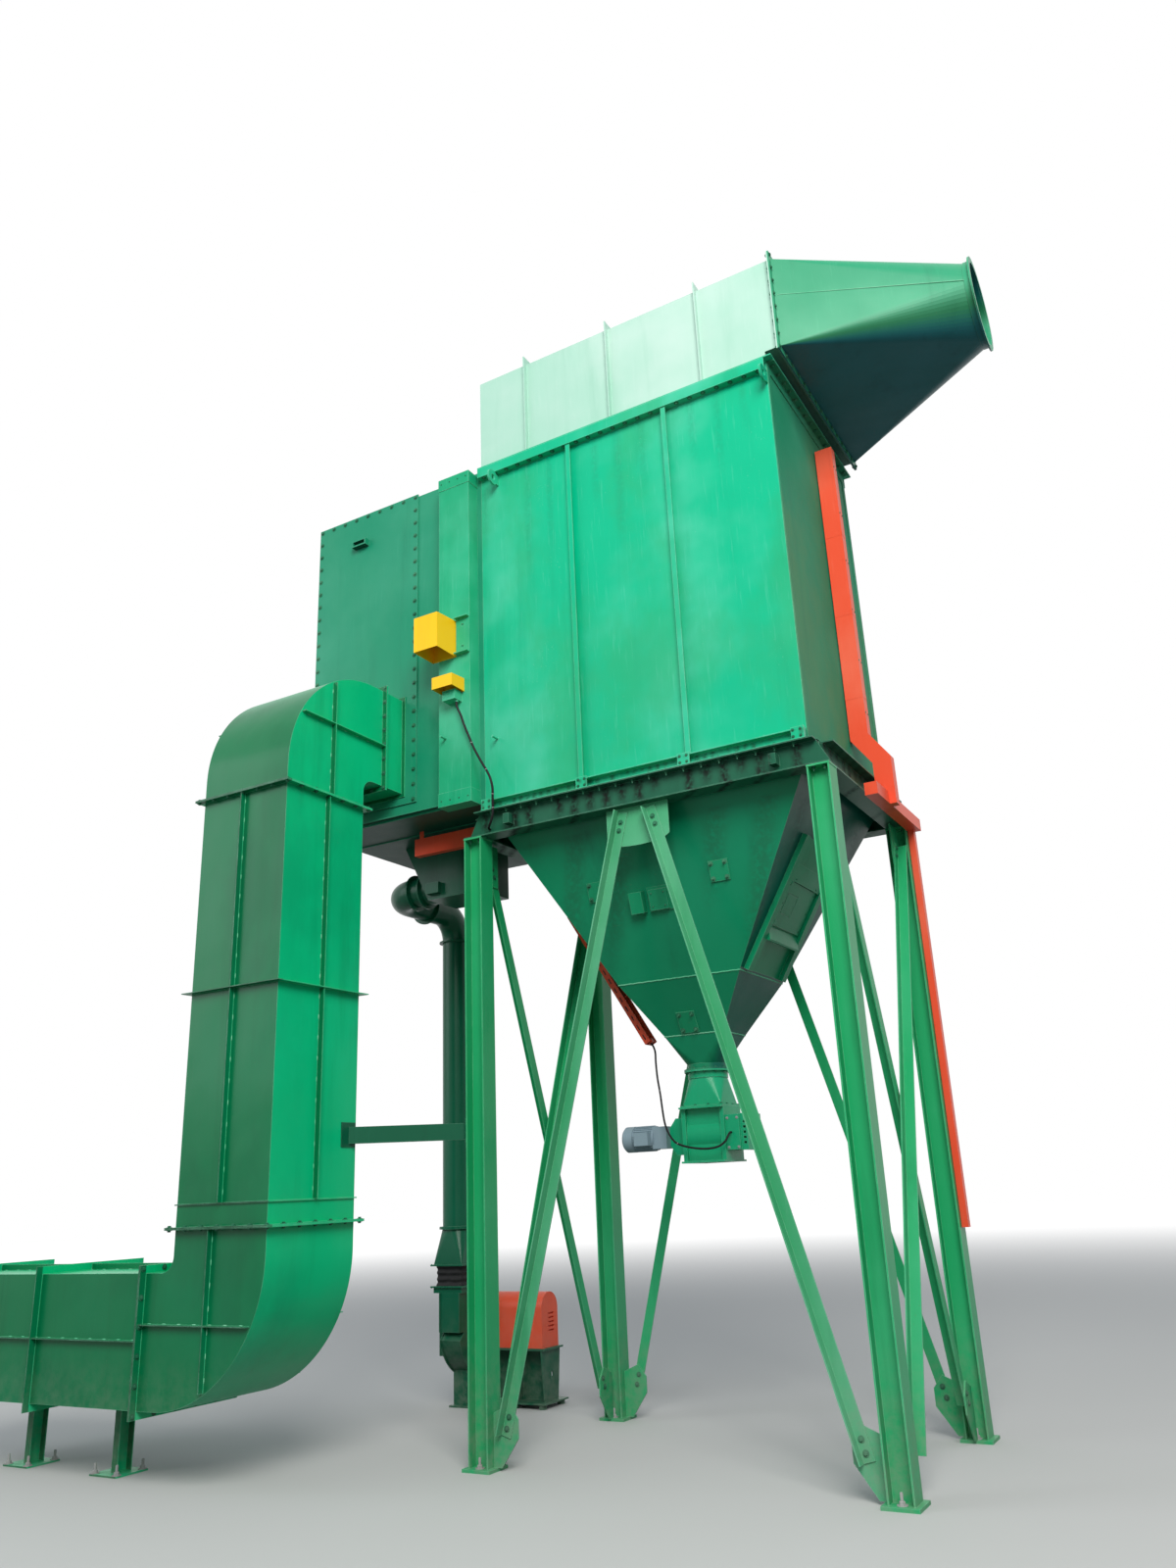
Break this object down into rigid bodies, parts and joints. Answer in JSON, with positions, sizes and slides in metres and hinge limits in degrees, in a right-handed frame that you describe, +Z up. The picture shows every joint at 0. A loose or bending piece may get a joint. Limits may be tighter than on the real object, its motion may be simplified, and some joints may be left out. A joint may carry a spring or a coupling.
{
  "type": "box bag filter with hopper and purge fan",
  "caption": "Bag filter on a braced steel frame: sheet housing, inlet hood, hopper with rotary valve, clean gas duct and purge fan.",
  "frame": {"origin": "centre of the underside of the front left column base plate, on the floor", "axes": "+X along the front towards the inlet, +Y to the back, +Z up"},
  "size_m": [7.8929, 3.7316, 8.304],
  "materials": {
    "green_paint": "satin paint, dusty",
    "housing_green_paint": "satin paint",
    "duct_green_paint": "satin paint",
    "yellow_paint": "gloss paint",
    "orange_paint": "satin paint",
    "motor_paint": "satin paint",
    "bare_steel": "worn",
    "black_rubber": "matt"
  },
  "bodies": {
    "root": {"column_front_left": "green_paint", "column_front_right": "green_paint", "column_back_left": "green_paint", "column_back_right": "green_paint", "front_beam": "green_paint", "back_beam": "green_paint", "left_beam": "green_paint", "right_beam": "green_paint", "front_bracing": "green_paint", "back_bracing": "green_paint", "left_bracing": "green_paint", "right_bracing": "green_paint", "housing_front_wall": "housing_green_paint", "housing_back_wall": "housing_green_paint", "housing_right_wall": "housing_green_paint", "housing_left_wall": "housing_green_paint", "housing_roof": "housing_green_paint", "lifting_lugs": "housing_green_paint", "inlet_hood": "housing_green_paint", "inlet_transition": "green_paint", "inlet_flange": "green_paint", "clean_air_chamber": "duct_green_paint", "chamber_front_panel": "duct_green_paint", "cable_trunk": "housing_green_paint", "rain_canopies": "yellow_paint", "hopper_upper": "green_paint", "hopper_lower": "green_paint", "hopper_access_cover": "green_paint", "hopper_hand_plates": "green_paint", "outlet_transition": "green_paint", "valve_body": "green_paint", "valve_rotor": "bare_steel", "chain_guard": "green_paint", "gear_motor": "motor_paint", "duct_top_elbow": "duct_green_paint", "duct_riser": "duct_green_paint", "duct_bottom_elbow": "duct_green_paint", "duct_run": "duct_green_paint", "purge_header": "duct_green_paint", "purge_pipe": "duct_green_paint", "flexible_sleeve": "black_rubber", "purge_fan": "duct_green_paint", "drive_cover": "orange_paint", "fan_pedestal": "duct_green_paint", "pipe_strut": "duct_green_paint", "cable_tray": "orange_paint", "instrument_cable": "black_rubber", "valve_cable": "black_rubber"}
  },
  "joints": []
}
